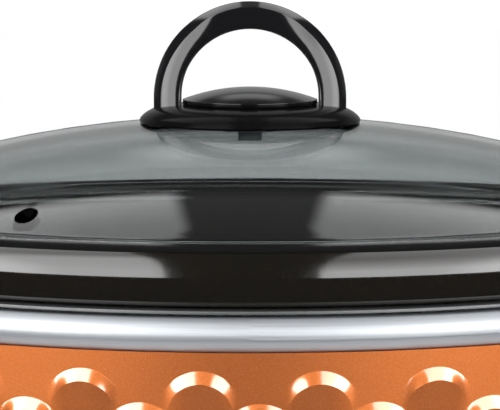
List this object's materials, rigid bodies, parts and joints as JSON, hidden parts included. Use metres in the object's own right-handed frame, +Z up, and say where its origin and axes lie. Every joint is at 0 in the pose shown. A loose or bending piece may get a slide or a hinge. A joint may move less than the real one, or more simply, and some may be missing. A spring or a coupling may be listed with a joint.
{
  "type": "slow cooker",
  "caption": "Oval countertop slow cooker: metal heating base, lift-out stoneware crock, domed glass lid with an arched handle, side handles and a rotary control.",
  "frame": {"origin": "centre of the bounding box's bottom face, on the surface the feet stand on", "axes": "+X to the right along the oval's length, +Y to the back, +Z up; the control knob faces -Y"},
  "size_m": [0.418, 0.2898, 0.2562],
  "materials": {
    "copper_paint": "metallic copper, satin",
    "stainless": "brushed",
    "liner_metal": "matt pressed sheet",
    "zinc_steel": "zinc plated",
    "heater_foil": "foil-faced mica band",
    "brass": "bare",
    "gloss_black": "high gloss moulded",
    "matt_black": "fine spark-eroded grain",
    "switch_black": "moulded",
    "rubber_black": "matt",
    "silicone_grey": "matt",
    "stoneware": "dark brown-black gloss glaze with fine speckle",
    "tempered_glass": "clear with a grey-green tint",
    "white_mark": "satin",
    "ivory_moulding": "moulded",
    "fuse_sleeve": "glass-fibre sleeve",
    "lead_brown": "silicone insulation",
    "lead_blue": "silicone insulation",
    "lead_red": "silicone insulation"
  },
  "bodies": {
    "base": {"outer_shell": "copper_paint", "trim_ring": "stainless", "inner_liner": "liner_metal", "heating_band": "heater_foil", "heater_terminals": "brass", "thermal_fuse": "fuse_sleeve", "fuse_clip": "zinc_steel", "liner_stud": "zinc_steel", "stud_washer": "zinc_steel", "stud_nut": "zinc_steel", "bottom_cover": "zinc_steel", "base_skirt": "matt_black", "foot_front_left": "matt_black", "foot_front_right": "matt_black", "foot_rear_left": "matt_black", "foot_rear_right": "matt_black", "pad_front_left": "rubber_black", "pad_front_right": "rubber_black", "pad_rear_left": "rubber_black", "pad_rear_right": "rubber_black", "foot_screws": "zinc_steel", "side_handle_left": "matt_black", "side_handle_right": "matt_black", "side_handle_screws": "zinc_steel", "control_bezel": "matt_black", "rotary_switch": "switch_black", "switch_tabs": "brass", "switch_bracket": "zinc_steel", "switch_nut": "zinc_steel", "terminal_block": "ivory_moulding", "lead_live": "lead_brown", "lead_neutral": "lead_blue", "lead_switched": "lead_red", "lead_fused": "lead_red", "cord_gland": "matt_black"},
    "crock": {"crock": "stoneware"},
    "lid": {"lid_glass": "tempered_glass", "lid_handle": "gloss_black", "handle_base": "gloss_black", "handle_gasket": "silicone_grey", "handle_washer": "stainless", "handle_screw": "stainless"},
    "control_knob": {"control_knob": "gloss_black", "knob_pointer": "white_mark", "switch_shaft": "zinc_steel", "switch_cam": "ivory_moulding"}
  },
  "joints": [
    {"name": "crock_lift", "type": "slide", "parent": "base", "child": "crock", "axis": [0, 0, 1], "range_m": [0, 0.2]},
    {"name": "lid_lift", "type": "slide", "parent": "crock", "child": "lid", "axis": [0, 0, 1], "range_m": [0, 0.15]},
    {"name": "knob_turn", "type": "hinge", "parent": "base", "child": "control_knob", "pos_m": [0, -0.12485, 0.053], "axis": [0, 1, 0], "range_deg": [0, 180]}
  ]
}
